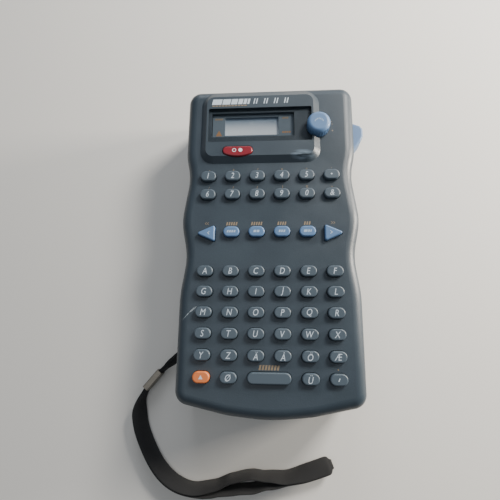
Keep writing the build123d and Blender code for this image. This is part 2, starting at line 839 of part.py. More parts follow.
idler_angle = 0.0
pinion_angle = meshing_angle(idler_teeth, idler_angle, pinion_teeth,
                             angle_between(idler_x, idler_y, motor_x, motor_y))
platen_angle = meshing_angle(idler_teeth, idler_angle, platen_teeth,
                             angle_between(idler_x, idler_y, platen_x, platen_y))
ribbon_angle = meshing_angle(idler_teeth, idler_angle, platen_teeth,
                             angle_between(idler_x, idler_y, ribbon_x, ribbon_y))


def gear_piece(x, y, teeth, tooth_angle, low_z, bore_radius):
    with BuildPart() as gear:
        with BuildSketch(Plane.XY.offset(low_z)):
            with Locations((x, y)):
                add(gear_outline(teeth, tooth_angle))
                if bore_radius:
                    Circle(bore_radius, mode=Mode.SUBTRACT)
        extrude(amount=gear_thickness)
    return gear.part


with BuildPart() as drive_chassis:
    with BuildSketch(Plane.XY.offset(chassis_low_z)):
        with Locations(((ribbon_x + platen_x) / 2 - 2.6, (motor_y + platen_y) / 2 + 0.6)):
            Rectangle(platen_x - ribbon_x + 14.6, platen_y - motor_y + 13.2)
        with Locations((platen_x, platen_y), (ribbon_x, ribbon_y)):
            Circle(axle_radius + 0.6 + shaft_clearance, mode=Mode.SUBTRACT)
        with Locations((motor_x, motor_y)):
            Circle(2.2, mode=Mode.SUBTRACT)
    extrude(amount=chassis_thickness)
    # Idler axle
    with BuildSketch(Plane.XY.offset(chassis_low_z)):
        with Locations((idler_x, idler_y)):
            Circle(axle_radius)
    extrude(amount=chassis_thickness + gear_lift + gear_thickness + 0.8)
    # Bent tab that carries the print head
    with BuildSketch(Plane.XY.offset(cassette_low)):
        with Locations((head_x - 0.9, platen_y)):
            Rectangle(0.8, 9)
    extrude(amount=chassis_low_z - cassette_low + 0.2)
save(drive_chassis.part, "drive_chassis")

with BuildPart() as print_head:
    with BuildSketch(Plane.XY.offset(tape_z - tape_width / 2 - 0.5)):
        with Locations((head_x + 0.2, platen_y)):
            Rectangle(1.4, 8)
    extrude(amount=tape_width + 1)
save(print_head.part, "print_head")

with BuildPart() as drive_motor:
    with BuildSketch(Plane.XY.offset(rear_inner_z + 0.6)):
        with Locations((motor_x, motor_y)):
            Circle(motor_radius)
    extrude(amount=chassis_low_z - rear_inner_z - 0.6)
    with BuildSketch(Plane.XY.offset(chassis_low_z)):
        with Locations((motor_x, motor_y)):
            Circle(2.0)
    extrude(amount=0.9)
save(drive_motor.part, "drive_motor")

save(gear_piece(motor_x, motor_y, pinion_teeth, pinion_angle, gear_z, 0), "motor_pinion")
save(gear_piece(idler_x, idler_y, idler_teeth, idler_angle, gear_z,
                axle_radius + shaft_clearance), "idler_gear")


def driven_shaft(x, y, tooth_angle, low_z, shaft_radius):
    """Gear above the chassis with a shaft that reaches down through it."""
    with BuildPart() as shaft:
        with BuildSketch(Plane.XY.offset(gear_z)):
            with Locations((x, y)):
                add(gear_outline(platen_teeth, tooth_angle))
        extrude(amount=gear_thickness)
        with BuildSketch(Plane.XY.offset(low_z)):
            with Locations((x, y)):
                Circle(shaft_radius)
        extrude(amount=gear_z - low_z)
    return shaft.part


save(driven_shaft(platen_x, platen_y, platen_angle, rear_inner_z + 0.6, axle_radius),
     "platen_gear")
save(driven_shaft(ribbon_x, ribbon_y, ribbon_angle, cassette_low + cassette_height / 2 + 1,
                  axle_radius + 0.6), "ribbon_spindle")

with BuildPart() as platen_roller:
    with BuildSketch(Plane.XY.offset(tape_z - tape_width / 2 - 0.5)):
        with Locations((platen_x, platen_y)):
            Circle(platen_radius)
            Circle(axle_radius, mode=Mode.SUBTRACT)
    extrude(amount=tape_width + 1)
save(platen_roller.part, "platen_roller")

# ---- Cutter ------------------------------------------------------------------------------

button_base_x = half_width - shell_wall - 2.6
arm_low_z = board_low_z - 4.2
arm_end_y = blade_y - blade_thickness / 2
with BuildPart() as cutter_button:
    with BuildSketch(Plane.XY.offset(cutter_low)):
        low_y = cutter_y - cutter_length / 2
        high_y = cutter_y + cutter_length / 2
        with BuildLine():
            Polyline((button_base_x, high_y), (button_base_x, low_y), (half_width, low_y),
                     (half_width + 0.75 * cutter_reach, low_y + 0.32 * cutter_length),
                     (half_width + cutter_reach, low_y + 0.5 * cutter_length),
                     (half_width + cutter_reach, low_y + 0.78 * cutter_length),
                     (half_width + 0.75 * cutter_reach, high_y - 0.1 * cutter_length),
                     (half_width, high_y), close=True)
        make_face()
    extrude(amount=cutter_height)
    outer_faces = cutter_button.faces().filter_by(lambda face: face.center().X > half_width)
    rims = [edge for face in outer_faces.filter_by(Axis.Z, reverse=True) for edge in face.edges()
            if abs(edge.center().Z - cutter_low) < 0.01
            or abs(edge.center().Z - cutter_low - cutter_height) < 0.01]
    fillet(ShapeList(rims), radius=1.2)
    # Arm along the wall and leg down to the blade
    with BuildSketch(Plane.XY.offset(arm_low_z)):
        with Locations((button_base_x + 0.4, (low_y + 4 + arm_end_y) / 2)):
            Rectangle(2.4, arm_end_y - low_y - 4)
    extrude(amount=3)
    with BuildSketch(Plane.XY.offset(cassette_low + 1)):
        with Locations((button_base_x - 1.3, arm_end_y - 1.6)):
            Rectangle(4.0, 3.2)
    extrude(amount=arm_low_z + 3 - cassette_low - 1)
save(cutter_button.part, "cutter_button")

blade_left = tape_x + 1.6
with BuildPart() as cutter_blade:
    with BuildSketch(Plane.XZ.offset(-arm_end_y)):
        with BuildLine():
            Polyline((blade_left, cassette_low + 1), (blade_left + 2, cassette_low + 15),
                     (button_base_x + 1, cassette_low + 15), (button_base_x + 1, cassette_low + 1),
                     close=True)
        make_face()
    extrude(amount=-blade_thickness)
save(cutter_blade.part, "cutter_blade")

# ---- Wrist strap -------------------------------------------------------------------------

with BuildPart() as strap_pin:
    with BuildSketch(Plane.XY.offset(strap_low_z - 0.15 - strap_head_thickness)):
        with Locations((strap_pin_x, strap_pin_y)):
            Circle(strap_head_radius)
    extrude(amount=strap_head_thickness)
    with BuildSketch(Plane.XY.offset(strap_low_z - 0.15)):
        with Locations((strap_pin_x, strap_pin_y)):
            Circle(strap_pin_radius)
    extrude(amount=strap_width + 0.45 + lug_thickness)
save(strap_pin.part, "strap_pin")

# Steps of the route from the strap pin
strap_steps = [
    (0.0, 0.0),
    (-7.0, -5.5),
    (-15.0, -12.5),
    (-22.5, -21.5),
    (-26.7, -31.5),
    (-25.1, -42.5),
    (-19.8, -54.0),
    (-12.5, -65.5),
    (-3.0, -73.5),
    (9.0, -76.8),
    (21.5, -75.2),
    (33.5, -71.8),
    (46.5, -70.2),
    (60.0, -69.0),
    (73.0, -65.8),
    (87.0, -60.9),
]
strap_route = [(strap_pin_x + step_x, strap_pin_y + step_y) for step_x, step_y in strap_steps]


def arc_radii(route):
    """The largest even arc at each inner point: 0.45 of the shorter run over tan(half turn)."""
    radii = []
    for before, here, after in zip(route, route[1:], route[2:]):
        first = Vector(*here) - Vector(*before)
        second = Vector(*after) - Vector(*here)
        turn = math.radians(first.get_angle(second))
        radii.append(0.45 * min(first.length, second.length) / math.tan(turn / 2))
    return radii


strap_radii = arc_radii(strap_route)
print("strap radii", [round(radius, 1) for radius in strap_radii])
with BuildPart() as strap:
    with BuildLine(Plane.XY.offset(strap_height)) as strap_path:
        FilletPolyline(*strap_route, radius=strap_radii)
    strap_wire = strap_path.wires()[0]
    with BuildSketch(Plane(strap_wire @ 0, x_dir=(0, 0, 1), z_dir=strap_wire % 0)):
        Rectangle(strap_width, strap_thickness)
    sweep()
save(strap.part, "strap")
strap_section = strap_width * strap_thickness
print("strap length", round(strap_wire.length, 1))
print("strap volume over section times length",
      round(strap.part.volume / (strap_section * strap_wire.length), 4))

# Metal crimp round both layers, on the run between the third and fourth points
crimp_start = Vector(*strap_route[2])
crimp_run = Vector(*strap_route[3]) - crimp_start
crimp_middle = crimp_start + crimp_run * 0.5
crimp_plane = Plane(Vector(crimp_middle.X, crimp_middle.Y, strap_height),
                    x_dir=(0, 0, 1), z_dir=crimp_run)
with BuildPart() as strap_crimp:
    with BuildSketch(crimp_plane.offset(-crimp_length / 2)):
        RectangleRounded(strap_width + crimp_wall, strap_thickness + 2 * crimp_wall, 0.6)
        Rectangle(strap_width, strap_thickness, mode=Mode.SUBTRACT)
    extrude(amount=crimp_length)
save(strap_crimp.part, "strap_crimp")
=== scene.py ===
# %% [markdown]
# # A handheld label maker, dressed for its portrait
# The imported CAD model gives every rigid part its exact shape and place. This lesson adds what the
# eye reads as real: moulded plastic with a spark-eroded grain, printed legends, a smoked window,
# a woven wrist strap, and soft light. Everything is in metres, in the frame of the CAD model:
# +X is the side with the cutter button, +Y the display end, +Z comes out of the keyboard.

import json
import math

import bmesh
import bpy
from mathutils import Matrix, Vector


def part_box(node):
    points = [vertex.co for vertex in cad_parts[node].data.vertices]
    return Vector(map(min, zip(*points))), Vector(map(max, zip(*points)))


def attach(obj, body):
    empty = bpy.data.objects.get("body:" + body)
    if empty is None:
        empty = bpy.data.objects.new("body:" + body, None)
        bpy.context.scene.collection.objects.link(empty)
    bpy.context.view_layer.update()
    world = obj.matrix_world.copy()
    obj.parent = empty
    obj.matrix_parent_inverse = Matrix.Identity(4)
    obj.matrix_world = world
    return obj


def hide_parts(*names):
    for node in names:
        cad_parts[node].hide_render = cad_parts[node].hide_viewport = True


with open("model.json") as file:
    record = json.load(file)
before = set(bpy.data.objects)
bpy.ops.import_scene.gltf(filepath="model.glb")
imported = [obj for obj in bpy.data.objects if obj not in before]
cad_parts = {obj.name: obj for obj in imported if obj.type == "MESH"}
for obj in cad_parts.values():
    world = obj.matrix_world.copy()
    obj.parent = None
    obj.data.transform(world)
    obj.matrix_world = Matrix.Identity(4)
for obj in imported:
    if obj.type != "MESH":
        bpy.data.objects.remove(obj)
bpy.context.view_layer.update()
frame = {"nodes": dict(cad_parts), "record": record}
MM = 0.001
scene = bpy.context.scene

# %% [markdown]
# ## Camera
# The portrait is taken from above the lower half of the keyboard with a fairly wide lens, so the
# near end looks wider than the display end. The angles turn the camera a little towards the
# display end and a little to the left.

# %% Camera
SENSOR_WIDTH = 36.0
FOCAL_SHARE = 0.76
CAMERA_TURN_DEG = (12.67, 4.0, -0.2)
CAMERA_PLACE_MM = (3.98, -51.84, 244.2)

camera_data = bpy.data.cameras.new("portrait_camera")
camera_data.sensor_width = SENSOR_WIDTH
camera_data.lens = FOCAL_SHARE * SENSOR_WIDTH
camera = bpy.data.objects.new("portrait_camera", camera_data)
camera.rotation_mode = "ZYX"
camera.rotation_euler = [math.radians(angle) for angle in CAMERA_TURN_DEG]
camera.location = [place * MM for place in CAMERA_PLACE_MM]
scene.collection.objects.link(camera)
scene.camera = camera
print("camera lens", round(camera_data.lens, 2), "mm")

# %% [markdown]
# ## Floor and light
# A studio table: one pale sheet, a soft key lamp high on the right, a lower rim lamp that draws the
# bright line along the right edge of the case, a weak one behind the display end, a weak fill from
# above, and a dim even sky that keeps the shadows open.

# %% Colour helper


def srgb(code):
    """A hex colour as linear red, green, blue and alpha."""
    values = [int(code[i:i + 2], 16) / 255 for i in (1, 3, 5)]
    linear = [v / 12.92 if v <= 0.04045 else ((v + 0.055) / 1.055) ** 2.4 for v in values]
    return (*linear, 1.0)


# %% Node helper


def add_node(tree, kind, inputs=None, **settings):
    """Adds one node, sets its properties, and fills its inputs with values or outputs."""
    node = tree.nodes.new(kind)
    for name, value in settings.items():
        setattr(node, name, value)
    for key, value in (inputs or {}).items():
        if isinstance(value, bpy.types.NodeSocket):
            tree.links.new(value, node.inputs[key])
        else:
            node.inputs[key].default_value = value
    return node


# %% Floor
FLOOR_REACH = 3.0

floor_mesh = bpy.data.meshes.new("floor")
corners = [(-FLOOR_REACH, -FLOOR_REACH, 0), (FLOOR_REACH, -FLOOR_REACH, 0),
           (FLOOR_REACH, FLOOR_REACH, 0), (-FLOOR_REACH, FLOOR_REACH, 0)]
floor_mesh.from_pydata(corners, [], [(0, 1, 2, 3)])
floor = bpy.data.objects.new("floor", floor_mesh)
scene.collection.objects.link(floor)
floor_paint = bpy.data.materials.new("pale_table")
floor_paint.use_nodes = True
floor_shader = floor_paint.node_tree.nodes["Principled BSDF"]
floor_shader.inputs["Base Color"].default_value = srgb("#e4e2dd")
floor_shader.inputs["Roughness"].default_value = 0.8
floor_mesh.materials.append(floor_paint)

# %% Lamps


def softbox(name, place, aim, size, watts, tint="#ffffff"):
    """A square area lamp at place that faces aim."""
    lamp = bpy.data.lights.new(name, "AREA")
    lamp.shape = "SQUARE"
    lamp.size = size
    lamp.energy = watts
    lamp.color = srgb(tint)[:3]
    holder = bpy.data.objects.new(name, lamp)
    holder.location = place
    holder.rotation_euler = (Vector(aim) - Vector(place)).to_track_quat("-Z", "Y").to_euler()
    scene.collection.objects.link(holder)


softbox("key_softbox", (0.40, 0.42, 0.42), (0.02, 0.02, 0.03), 0.20, 6.4, "#fffaf2")
softbox("rim_softbox", (0.60, 0.16, 0.13), (0.04, 0.02, 0.035), 0.14, 7.0, "#fff6e8")
softbox("back_softbox", (-0.05, 0.70, 0.40), (0, 0.02, 0.03), 0.30, 1.8, "#f4f8ff")
softbox("fill_softbox", (-0.20, -0.10, 0.80), (0, 0, 0.02), 0.60, 0.8)

sky = bpy.data.worlds.new("studio_air")
sky.use_nodes = True
sky.node_tree.nodes["Background"].inputs["Color"].default_value = srgb("#dfe6ee")
sky.node_tree.nodes["Background"].inputs["Strength"].default_value = 0.25
scene.world = sky

# %% [markdown]
# ## Plastics
# The case is ABS, injection moulded in a tool whose walls were spark eroded, which leaves a fine
# even grain of about 0.3 mm. It is drawn coarser than that, at 0.45 mm, so that it shows from this
# far. The grain breaks up the highlight, so the case looks satin, never glossy. Years of hands
# polish it unevenly: a slow change of roughness and tone shows that. One recipe serves all the
# moulded parts, with its colour, gloss and grain as arguments.

# %% Moulded plastic
ABS_IOR = 1.53
HANDLED_PATCH_MM = 28
# Grain size in mm, its height in mm, and how far the tone wanders
CASE_GRAIN = (0.45, 0.06, 0.10)
CAP_GRAIN = (0.35, 0.012, 0.04)


def moulded_plastic(name, colour, roughness, grain_mm, grain_height_mm, handling=0.06):
    """ABS with a spark-eroded grain, a slow tone change and unevenly worn gloss."""
    material = bpy.data.materials.new(name)
    material.use_nodes = True
    tree = material.node_tree
    shader = tree.nodes["Principled BSDF"]
    shader.inputs["IOR"].default_value = ABS_IOR
    place = add_node(tree, "ShaderNodeTexCoord").outputs["Object"]
    grain = add_node(tree, "ShaderNodeTexNoise",
                     {"Vector": place, "Scale": 1 / (grain_mm * MM), "Detail": 3.0,
                      "Roughness": 0.6})
    handled = add_node(tree, "ShaderNodeTexNoise",
                       {"Vector": place, "Scale": 1 / (HANDLED_PATCH_MM * MM), "Detail": 4.0,
                        "Roughness": 0.55})
    tone = add_node(tree, "ShaderNodeMapRange",
                    {"Value": handled.outputs["Fac"], "From Min": 0.3, "From Max": 0.7,
                     "To Min": 1 - handling, "To Max": 1 + handling})
    speckle = add_node(tree, "ShaderNodeMapRange",
                       {"Value": grain.outputs["Fac"], "From Min": 0.25, "From Max": 0.75,
                        "To Min": 1 - 1.2 * handling, "To Max": 1 + 1.2 * handling})
    shade = add_node(tree, "ShaderNodeMath",
                     {0: tone.outputs["Result"], 1: speckle.outputs["Result"]},
                     operation="MULTIPLY")
    paint = add_node(tree, "ShaderNodeHueSaturation",
                     {"Color": srgb(colour), "Value": shade.outputs["Value"]})
    tree.links.new(paint.outputs["Color"], shader.inputs["Base Color"])
    gloss = add_node(tree, "ShaderNodeMapRange",
                     {"Value": handled.outputs["Fac"], "From Min": 0.3, "From Max": 0.7,
                      "To Min": roughness - 0.05, "To Max": roughness + 0.07})
    tree.links.new(gloss.outputs["Result"], shader.inputs["Roughness"])
    relief = add_node(tree, "ShaderNodeBump",
                      {"Height": grain.outputs["Fac"], "Strength": 1.0,
                       "Distance": grain_height_mm * MM})
    tree.links.new(relief.outputs["Normal"], shader.inputs["Normal"])
    return material


case_plastic = moulded_plastic("slate_case_abs", "#333f49", 0.42, *CASE_GRAIN)
rear_plastic = moulded_plastic("slate_rear_abs", "#2f3941", 0.50, *CASE_GRAIN)
key_plastic = moulded_plastic("grey_keycap_abs", "#46535e", 0.40, *CAP_GRAIN)
blue_plastic = moulded_plastic("powder_blue_abs", "#5a7aa2", 0.42, *CAP_GRAIN)
orange_plastic = moulded_plastic("orange_keycap_abs", "#cf7440", 0.42, *CAP_GRAIN)
red_plastic = moulded_plastic("dark_red_abs", "#832530", 0.30, 0.40, 0.008, 0.05)
cassette_plastic = moulded_plastic("black_polystyrene", "#26282b", 0.35, 0.30, 0.008)
gear_plastic = moulded_plastic("natural_acetal", "#dcd8cc", 0.40, 0.30, 0.006, 0.03)
print("case grain drawn at", CASE_GRAIN[0], "mm")

# %% [markdown]
# ### A painted highlight beside the dial
# The lower right corner of the display hump carries a painted highlight: a pale bluish haze,
# streaked along its length. A soft ellipse in the case's own coordinates, broken up by stretched
# noise, mixes it in.

# %% Painted highlight
PAINTED_HIGHLIGHT_CENTRE = (19.0 * MM, 48.6 * MM, 44.0 * MM)
PAINTED_HIGHLIGHT_REACH = (7.5 * MM, 3.4 * MM, 6.0 * MM)

case_tree = case_plastic.node_tree
case_colour = case_tree.nodes["Principled BSDF"].inputs["Base Color"]
plain_case_colour = case_colour.links[0].from_socket
case_place = add_node(case_tree, "ShaderNodeTexCoord").outputs["Object"]
highlight_space = add_node(
    case_tree, "ShaderNodeMapping",
    {"Vector": case_place, "Scale": tuple(1 / r for r in PAINTED_HIGHLIGHT_REACH),
     "Location": tuple(-c / r for c, r in zip(PAINTED_HIGHLIGHT_CENTRE, PAINTED_HIGHLIGHT_REACH))})
highlight_distance = add_node(case_tree, "ShaderNodeVectorMath",
                          {0: highlight_space.outputs["Vector"]}, operation="LENGTH")
highlight_fade = add_node(case_tree, "ShaderNodeMapRange",
                      {"Value": highlight_distance.outputs["Value"], "From Min": 1.0,
                       "From Max": 0.2, "To Min": 0.0, "To Max": 0.75})
streak_space = add_node(case_tree, "ShaderNodeMapping",
                        {"Vector": case_place, "Scale": (0.25, 1.0, 1.0),
                         "Rotation": (0, 0, math.radians(-14))})
streaks = add_node(case_tree, "ShaderNodeTexNoise",
                   {"Vector": streak_space.outputs["Vector"], "Scale": 1 / (1.6 * MM),
                    "Detail": 2.0})
streak_share = add_node(case_tree, "ShaderNodeMapRange",
                        {"Value": streaks.outputs["Fac"], "From Min": 0.38, "From Max": 0.62})
highlight_share = add_node(case_tree, "ShaderNodeMath",
                       {0: highlight_fade.outputs["Result"], 1: streak_share.outputs["Result"]},
                       operation="MULTIPLY")
# The pale bluish colour mixed in here is a painted highlight on the case.
highlight_painted_on = add_node(case_tree, "ShaderNodeMix", data_type="RGBA")
case_tree.links.new(highlight_share.outputs["Value"], highlight_painted_on.inputs["Factor"])
case_tree.links.new(plain_case_colour, highlight_painted_on.inputs["A"])
highlight_painted_on.inputs["B"].default_value = srgb("#7f93a6")
case_tree.links.new(highlight_painted_on.outputs["Result"], case_colour)
print("scuffed the case near", PAINTED_HIGHLIGHT_CENTRE)

# %% [markdown]
# ## Display
# Behind the smoked acrylic window a printed panel carries the liquid crystal glass. The window
# is a thin sheet, so a tinted see-through surface with a clean gloss is enough: real refraction
# would bend nothing that can be seen, and it would starve the panel of light.

# %% Display materials


def plain_finish(name, colour, roughness, metallic=0.0, alpha=1.0, mottle_mm=8.0, mottle=0.05):
    """A smooth finish whose gloss wanders a little, as on any handled surface."""
    material = bpy.data.materials.new(name)
    material.use_nodes = True
    tree = material.node_tree
    shader = tree.nodes["Principled BSDF"]
    shader.inputs["Base Color"].default_value = srgb(colour)
    shader.inputs["Metallic"].default_value = metallic
    shader.inputs["Alpha"].default_value = alpha
    place = add_node(tree, "ShaderNodeTexCoord").outputs["Object"]
    wander = add_node(tree, "ShaderNodeTexNoise",
                      {"Vector": place, "Scale": 1 / (mottle_mm * MM), "Detail": 3.0})
    gloss = add_node(tree, "ShaderNodeMapRange",
                     {"Value": wander.outputs["Fac"], "From Min": 0.3, "From Max": 0.7,
                      "To Min": max(roughness - mottle, 0.02), "To Max": roughness + mottle})
    tree.links.new(gloss.outputs["Result"], shader.inputs["Roughness"])
    return material


smoked_acrylic = plain_finish("smoked_acrylic", "#10171c", 0.06, alpha=0.15, mottle=0.03)
smoked_acrylic.surface_render_method = "BLENDED"
panel_print = plain_finish("grey_blue_panel_print", "#62717e", 0.55)
lcd_glass = plain_finish("liquid_crystal_glass", "#dfeaf4", 0.25)

# %% Painted shadow under the bezel
# The crystal sits deep behind its frame; the frame's shadow is painted into its colour, which
# darkens softly towards the upper edge.
lcd_tree = lcd_glass.node_tree
lcd_place = add_node(lcd_tree, "ShaderNodeTexCoord").outputs["Object"]
lcd_axes = add_node(lcd_tree, "ShaderNodeSeparateXYZ", {"Vector": lcd_place})
WINDOW_LOW_Y = 62.9 * MM
WINDOW_HIGH_Y = 74.5 * MM
lcd_painted_shadow_share = add_node(lcd_tree, "ShaderNodeMapRange",
                     {"Value": lcd_axes.outputs["Y"], "From Min": WINDOW_LOW_Y + 2 * MM,
                      "From Max": WINDOW_HIGH_Y, "To Min": 0.0, "To Max": 1.0},
                     interpolation_type="SMOOTHSTEP")
# The darker colour B is a painted shadow of the frame on the crystal.
lcd_painted_shadow_tone = add_node(lcd_tree, "ShaderNodeMix", data_type="RGBA")
lcd_tree.links.new(lcd_painted_shadow_share.outputs["Result"], lcd_painted_shadow_tone.inputs["Factor"])
lcd_painted_shadow_tone.inputs["A"].default_value = srgb("#e3edf6")
lcd_painted_shadow_tone.inputs["B"].default_value = srgb("#7f93a8")
lcd_tree.links.new(lcd_painted_shadow_tone.outputs["Result"],
                   lcd_tree.nodes["Principled BSDF"].inputs["Base Color"])

# %% [markdown]
# ## Metals, rubber, boards and films
# Small parts inside and underneath. A brushed metal keeps its default reflection and gets fine
# scratches along one direction. Rubber is nearly black and very rough.

# %% Brushed metal


def brushed_metal(name, colour, roughness, scratch_mm=0.15):
    """Metal with fine scratches that run along X."""
    material = bpy.data.materials.new(name)
    material.use_nodes = True
    tree = material.node_tree
    shader = tree.nodes["Principled BSDF"]
    shader.inputs["Base Color"].default_value = srgb(colour)
    shader.inputs["Metallic"].default_value = 1.0
    place = add_node(tree, "ShaderNodeTexCoord").outputs["Object"]
    drawn = add_node(tree, "ShaderNodeMapping", {"Vector": place, "Scale": (0.05, 1.0, 1.0)})
    scratch = add_node(tree, "ShaderNodeTexNoise",
                       {"Vector": drawn.outputs["Vector"], "Scale": 1 / (scratch_mm * MM),
                        "Detail": 2.0})
    gloss = add_node(tree, "ShaderNodeMapRange",
                     {"Value": scratch.outputs["Fac"], "From Min": 0.3, "From Max": 0.7,
                      "To Min": roughness - 0.08, "To Max": roughness + 0.1})
    tree.links.new(gloss.outputs["Result"], shader.inputs["Roughness"])
    relief = add_node(tree, "ShaderNodeBump",
                      {"Height": scratch.outputs["Fac"], "Strength": 0.5,
                       "Distance": 0.01 * MM})
    tree.links.new(relief.outputs["Normal"], shader.inputs["Normal"])
    return material


zinc_steel = brushed_metal("zinc_plated_steel", "#a9abad", 0.38)
spring_steel = brushed_metal("nickel_plated_spring_steel", "#c4c2bc", 0.30)
ground_steel = brushed_metal("ground_blade_steel", "#b9bcc0", 0.22, 0.08)
crimp_metal = brushed_metal("grey_crimp_metal", "#8b867d", 0.42)
turned_brass = brushed_metal("turned_brass", "#b8924c", 0.30)
black_rubber = moulded_plastic("black_rubber", "#1b1b1c", 0.78, 0.6, 0.03)
grey_silicone = moulded_plastic("grey_silicone", "#8e9092", 0.6, 0.5, 0.01)
solder_mask = plain_finish("green_solder_mask", "#1d5c38", 0.35)
cell_wrap = plain_finish("black_cell_wrap", "#1e1f22", 0.28)
label_film = plain_finish("white_label_film", "#e8e6df", 0.35)
heater_ceramic = plain_finish("heater_ceramic", "#cfc6b4", 0.30)

# %% Materials onto the CAD nodes
finish_of_slot = {
    "case_front": case_plastic, "case_rear": rear_plastic, "door": rear_plastic,
    "key_cap": key_plastic, "function_key": blue_plastic, "shift_key": orange_plastic,
    "power_key": red_plastic, "dial": blue_plastic, "cutter_button": blue_plastic,
    "rubber_pad": black_rubber, "screw_steel": zinc_steel, "smoked_lens": smoked_acrylic,
    "display_panel": panel_print, "lcd": lcd_glass, "board": solder_mask,
    "key_mat": grey_silicone, "cell_can": cell_wrap, "contact_metal": spring_steel,
    "cassette": cassette_plastic, "tape": label_film, "chassis": zinc_steel,
    "print_head": heater_ceramic, "motor_can": spring_steel, "gear": gear_plastic,
    "gear_brass": turned_brass, "platen_rubber": black_rubber, "blade": ground_steel,
    "strap": black_rubber, "crimp": crimp_metal, "pin_metal": zinc_steel,
}
slot_of_node = {row["node"]: row["material_slot"] for row in frame["record"]["subparts"]}
for node_name, node in frame["nodes"].items():
    node_finish = finish_of_slot[slot_of_node[node_name]]
    node.data.materials.clear()
    node.data.materials.append(node_finish)
print("dressed", len(frame["nodes"]), "nodes")

# %% [markdown]
# ## Printed legends
# The legends are pad printed: a film of ink a few hundredths of a millimetre thick that stands
# on the cap. Each is a text outline turned into a thin mesh, slanted and narrowed into condensed
# italics. Caps print in pale blue-grey, second functions in tan.

# %% Inks
pale_ink = plain_finish("pale_blue_grey_ink", "#c3d0dc", 0.5)
tan_ink = plain_finish("tan_ink", "#8c7b64", 0.55)
white_ink = plain_finish("white_ink", "#dfe5ec", 0.5)
faint_ink = plain_finish("faint_blue_ink", "#a7bbd1", 0.5)
amber_ink = plain_finish("amber_ink", "#a47c55", 0.55)

# %% Text and outline helpers
INK_THICKNESS = 0.03 * MM
INK_LIFT = 0.01 * MM
ITALIC_SLANT = 0.22


def link_piece(name, mesh, finish, body):
    """Puts a finished mesh into the scene, riding on a body."""
    piece = bpy.data.objects.new(name, mesh)
    mesh.materials.clear()
    mesh.materials.append(finish)
    scene.collection.objects.link(piece)
    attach(piece, body)
    return piece


def text_outline(letters, size, centre, surface_z, narrow=0.80, bold=-0.01 * MM):
    """The vertices and faces of one line of ink, centred on a point of a level surface."""
    curve = bpy.data.curves.new("ink_text", "FONT")
    curve.body = letters
    curve.size = size
    curve.shear = ITALIC_SLANT
    curve.resolution_u = 3
    curve.extrude = INK_THICKNESS / 2
    curve.offset = bold
    holder = bpy.data.objects.new("ink_text", curve)
    scene.collection.objects.link(holder)
    bpy.context.view_layer.update()
    mesh = bpy.data.meshes.new_from_object(holder.evaluated_get(
        bpy.context.evaluated_depsgraph_get()))
    bpy.data.objects.remove(holder)
    low = [min(v.co[i] for v in mesh.vertices) for i in (0, 1)]
    high = [max(v.co[i] for v in mesh.vertices) for i in (0, 1)]
    middle = Vector(((low[0] + high[0]) / 2, (low[1] + high[1]) / 2, 0))
    shift = Matrix.Translation((*centre, surface_z + INK_THICKNESS / 2 + INK_LIFT))
    mesh.transform(shift @ Matrix.Diagonal((narrow, 1, 1, 1)) @ Matrix.Translation(-middle))
    return mesh


def flat_shape(outline, surface_z):
    """A thin closed slab of ink from a flat outline given counter-clockwise."""
    count = len(outline)
    low_z = surface_z + INK_LIFT
    points = [(x, y, low_z) for x, y in outline]
    points += [(x, y, low_z + INK_THICKNESS) for x, y in outline]
    faces = [tuple(reversed(range(count))), tuple(range(count, 2 * count))]
    for i in range(count):
        after = (i + 1) % count
        faces.append((i, after, count + after, count + i))
    mesh = bpy.data.meshes.new("ink_shape")
    mesh.from_pydata(points, [], faces)
    return mesh


def joined(name, meshes):
    """Several small meshes as one."""
    whole = bmesh.new()
    for mesh in meshes:
        whole.from_mesh(mesh)
    result = bpy.data.meshes.new(name)
    whole.to_mesh(result)
    whole.free()
    return result


def bar(x, y, width, height, slant=ITALIC_SLANT):
    """A slanted bar's outline, centred on x, y."""
    lean = slant * height / 2
    return [(x - width / 2 - lean, y - height / 2), (x + width / 2 - lean, y - height / 2),
            (x + width / 2 + lean, y + height / 2), (x - width / 2 + lean, y + height / 2)]


def disc(x, y, radius, steps=20):
    """A round dot's outline."""
    return [(x + radius * math.cos(2 * math.pi * i / steps),
             y + radius * math.sin(2 * math.pi * i / steps)) for i in range(steps)]


# %% [markdown]
# ### Key legends
# Every cap's place comes from its CAD node, so a legend can't drift from its key. The six caps of
# a letter row share one node: their centres are evenly spaced between the two outer ones.

# %% Cap legends
KEY_TOP_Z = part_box("key_1")[1].z
CAP_FLANGE = 0.8 * MM
CAP_WIDTH = 8.9 * MM
LETTER_SIZE = 4.8 * MM
DOT_RADIUS = 0.45 * MM
SHIFT_MARK_HALF = 1.1 * MM
SHIFT_MARK_FOOT = 0.9 * MM


def node_centre(node_name):
    """Centre of a node's box, seen from above."""
    low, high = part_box(node_name)
    return ((low.x + high.x) / 2, (low.y + high.y) / 2)


single_caps = {"key_1": "1", "key_2": "2", "key_3": "3", "key_4": "4", "key_5": "5",
               "key_6": "6", "key_7": "7", "key_8": "8", "key_9": "9", "key_0": "0",
               "key_sign": "&", "key_letter_left": "Ø", "key_letter_right": "Ü"}
for cap_name, cap_letter in single_caps.items():
    cap_mesh = text_outline(cap_letter, LETTER_SIZE, node_centre(cap_name), KEY_TOP_Z)
    link_piece("legend_" + cap_name, cap_mesh, pale_ink, cap_name)

